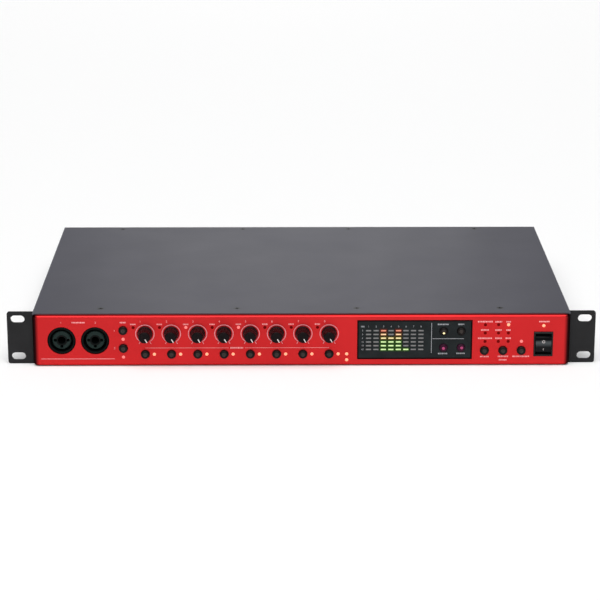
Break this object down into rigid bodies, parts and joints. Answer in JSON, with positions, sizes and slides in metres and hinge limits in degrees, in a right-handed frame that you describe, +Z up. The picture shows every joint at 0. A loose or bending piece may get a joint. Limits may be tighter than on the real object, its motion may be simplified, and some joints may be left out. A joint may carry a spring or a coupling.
{
  "type": "audio interface",
  "caption": "Rack-mount audio interface with a red front, microphone sockets, gain knobs, push buttons, a meter window and a power rocker.",
  "frame": {"origin": "under the middle of the whole object, on the surface it stands on", "axes": "+X to the right seen from the front, +Y to the back, +Z up"},
  "size_m": [0.4826, 0.3002, 0.044],
  "materials": {
    "red_fascia": "satin red",
    "black_panel": "satin black powder coat",
    "grey_cover": "satin dark grey powder coat",
    "window": "gloss smoked black",
    "meter_light": "lit bars",
    "amber_light": "lit lens",
    "black_plastic": "moulded black",
    "switch_plastic": "gloss moulded black",
    "knob_plastic": "satin moulded black",
    "button_rubber": "satin moulded black",
    "shaft_metal": "turned",
    "plated_steel": "nickel plated",
    "screw_steel": "blackened steel",
    "circuit_board": "green solder mask",
    "ribbon_grey": "ribbed grey"
  },
  "bodies": {
    "chassis": {"rack_panel": "black_panel", "front_fascia": "red_fascia", "meter_window": "window", "meter_display": "meter_light", "indicator_lights": "amber_light", "combo_jack_1": "black_plastic", "combo_jack_2": "black_plastic", "gain_potentiometers": "plated_steel", "push_switches": "black_plastic", "power_switch_housing": "switch_plastic", "top_cover": "grey_cover", "base_tray": "grey_cover", "case_screws": "screw_steel", "rear_panel": "black_panel", "rear_combo_jacks": "black_plastic", "rear_line_jacks": "black_plastic", "mains_inlet": "black_plastic", "optical_ports": "black_plastic", "coaxial_sockets": "plated_steel", "midi_sockets": "black_plastic", "computer_port": "plated_steel", "control_board": "circuit_board", "main_board": "circuit_board", "power_supply": "circuit_board", "board_spacers": "screw_steel", "ribbon_cable": "ribbon_grey"},
    "gain_knob_1": {"gain_knob_1": "knob_plastic", "gain_shaft_1": "shaft_metal"},
    "gain_knob_2": {"gain_knob_2": "knob_plastic", "gain_shaft_2": "shaft_metal"},
    "gain_knob_3": {"gain_knob_3": "knob_plastic", "gain_shaft_3": "shaft_metal"},
    "gain_knob_4": {"gain_knob_4": "knob_plastic", "gain_shaft_4": "shaft_metal"},
    "gain_knob_5": {"gain_knob_5": "knob_plastic", "gain_shaft_5": "shaft_metal"},
    "gain_knob_6": {"gain_knob_6": "knob_plastic", "gain_shaft_6": "shaft_metal"},
    "gain_knob_7": {"gain_knob_7": "knob_plastic", "gain_shaft_7": "shaft_metal"},
    "gain_knob_8": {"gain_knob_8": "knob_plastic", "gain_shaft_8": "shaft_metal"},
    "instrument_button_1": {"instrument_button_1": "button_rubber"},
    "instrument_button_2": {"instrument_button_2": "button_rubber"},
    "channel_button_1": {"channel_button_1": "button_rubber"},
    "channel_button_2": {"channel_button_2": "button_rubber"},
    "channel_button_3": {"channel_button_3": "button_rubber"},
    "channel_button_4": {"channel_button_4": "button_rubber"},
    "channel_button_5": {"channel_button_5": "button_rubber"},
    "channel_button_6": {"channel_button_6": "button_rubber"},
    "channel_button_7": {"channel_button_7": "button_rubber"},
    "channel_button_8": {"channel_button_8": "button_rubber"},
    "monitor_button_1": {"monitor_button_1": "button_rubber"},
    "monitor_button_2": {"monitor_button_2": "button_rubber"},
    "monitor_button_3": {"monitor_button_3": "button_rubber"},
    "monitor_button_4": {"monitor_button_4": "button_rubber"},
    "output_button_1": {"output_button_1": "button_rubber"},
    "output_button_2": {"output_button_2": "button_rubber"},
    "output_button_3": {"output_button_3": "button_rubber"},
    "power_rocker": {"power_rocker": "switch_plastic"}
  },
  "joints": [
    {"name": "gain_knob_1_turn", "type": "hinge", "parent": "chassis", "child": "gain_knob_1", "pos_m": [-0.1279, -0.1387, 0.0278], "axis": [0, -1, 0], "range_deg": [0, 300]},
    {"name": "gain_knob_2_turn", "type": "hinge", "parent": "chassis", "child": "gain_knob_2", "pos_m": [-0.1064, -0.1387, 0.0278], "axis": [0, -1, 0], "range_deg": [0, 300]},
    {"name": "gain_knob_3_turn", "type": "hinge", "parent": "chassis", "child": "gain_knob_3", "pos_m": [-0.0849, -0.1387, 0.0278], "axis": [0, -1, 0], "range_deg": [0, 300]},
    {"name": "gain_knob_4_turn", "type": "hinge", "parent": "chassis", "child": "gain_knob_4", "pos_m": [-0.0634, -0.1387, 0.0278], "axis": [0, -1, 0], "range_deg": [0, 300]},
    {"name": "gain_knob_5_turn", "type": "hinge", "parent": "chassis", "child": "gain_knob_5", "pos_m": [-0.0419, -0.1387, 0.0278], "axis": [0, -1, 0], "range_deg": [0, 300]},
    {"name": "gain_knob_6_turn", "type": "hinge", "parent": "chassis", "child": "gain_knob_6", "pos_m": [-0.0204, -0.1387, 0.0278], "axis": [0, -1, 0], "range_deg": [0, 300]},
    {"name": "gain_knob_7_turn", "type": "hinge", "parent": "chassis", "child": "gain_knob_7", "pos_m": [0.0011, -0.1387, 0.0278], "axis": [0, -1, 0], "range_deg": [0, 300]},
    {"name": "gain_knob_8_turn", "type": "hinge", "parent": "chassis", "child": "gain_knob_8", "pos_m": [0.0226, -0.1387, 0.0278], "axis": [0, -1, 0], "range_deg": [0, 300]},
    {"name": "instrument_button_1_press", "type": "slide", "parent": "chassis", "child": "instrument_button_1", "axis": [0, 1, 0], "range_m": [0, 0.0008], "stiffness_N_per_m": 1200, "springref_m": -0.0005},
    {"name": "instrument_button_2_press", "type": "slide", "parent": "chassis", "child": "instrument_button_2", "axis": [0, 1, 0], "range_m": [0, 0.0008], "stiffness_N_per_m": 1200, "springref_m": -0.0005},
    {"name": "channel_button_1_press", "type": "slide", "parent": "chassis", "child": "channel_button_1", "axis": [0, 1, 0], "range_m": [0, 0.0008], "stiffness_N_per_m": 1200, "springref_m": -0.0005},
    {"name": "channel_button_2_press", "type": "slide", "parent": "chassis", "child": "channel_button_2", "axis": [0, 1, 0], "range_m": [0, 0.0008], "stiffness_N_per_m": 1200, "springref_m": -0.0005},
    {"name": "channel_button_3_press", "type": "slide", "parent": "chassis", "child": "channel_button_3", "axis": [0, 1, 0], "range_m": [0, 0.0008], "stiffness_N_per_m": 1200, "springref_m": -0.0005},
    {"name": "channel_button_4_press", "type": "slide", "parent": "chassis", "child": "channel_button_4", "axis": [0, 1, 0], "range_m": [0, 0.0008], "stiffness_N_per_m": 1200, "springref_m": -0.0005},
    {"name": "channel_button_5_press", "type": "slide", "parent": "chassis", "child": "channel_button_5", "axis": [0, 1, 0], "range_m": [0, 0.0008], "stiffness_N_per_m": 1200, "springref_m": -0.0005},
    {"name": "channel_button_6_press", "type": "slide", "parent": "chassis", "child": "channel_button_6", "axis": [0, 1, 0], "range_m": [0, 0.0008], "stiffness_N_per_m": 1200, "springref_m": -0.0005},
    {"name": "channel_button_7_press", "type": "slide", "parent": "chassis", "child": "channel_button_7", "axis": [0, 1, 0], "range_m": [0, 0.0008], "stiffness_N_per_m": 1200, "springref_m": -0.0005},
    {"name": "channel_button_8_press", "type": "slide", "parent": "chassis", "child": "channel_button_8", "axis": [0, 1, 0], "range_m": [0, 0.0008], "stiffness_N_per_m": 1200, "springref_m": -0.0005},
    {"name": "monitor_button_1_press", "type": "slide", "parent": "chassis", "child": "monitor_button_1", "axis": [0, 1, 0], "range_m": [0, 0.0008], "stiffness_N_per_m": 1200, "springref_m": -0.0005},
    {"name": "monitor_button_2_press", "type": "slide", "parent": "chassis", "child": "monitor_button_2", "axis": [0, 1, 0], "range_m": [0, 0.0008], "stiffness_N_per_m": 1200, "springref_m": -0.0005},
    {"name": "monitor_button_3_press", "type": "slide", "parent": "chassis", "child": "monitor_button_3", "axis": [0, 1, 0], "range_m": [0, 0.0008], "stiffness_N_per_m": 1200, "springref_m": -0.0005},
    {"name": "monitor_button_4_press", "type": "slide", "parent": "chassis", "child": "monitor_button_4", "axis": [0, 1, 0], "range_m": [0, 0.0008], "stiffness_N_per_m": 1200, "springref_m": -0.0005},
    {"name": "output_button_1_press", "type": "slide", "parent": "chassis", "child": "output_button_1", "axis": [0, 1, 0], "range_m": [0, 0.0008], "stiffness_N_per_m": 1200, "springref_m": -0.0005},
    {"name": "output_button_2_press", "type": "slide", "parent": "chassis", "child": "output_button_2", "axis": [0, 1, 0], "range_m": [0, 0.0008], "stiffness_N_per_m": 1200, "springref_m": -0.0005},
    {"name": "output_button_3_press", "type": "slide", "parent": "chassis", "child": "output_button_3", "axis": [0, 1, 0], "range_m": [0, 0.0008], "stiffness_N_per_m": 1200, "springref_m": -0.0005},
    {"name": "power_rocker_tilt", "type": "hinge", "parent": "chassis", "child": "power_rocker", "pos_m": [0.1979, -0.1353, 0.0186], "axis": [-1, 0, 0], "range_deg": [0, 18]}
  ]
}
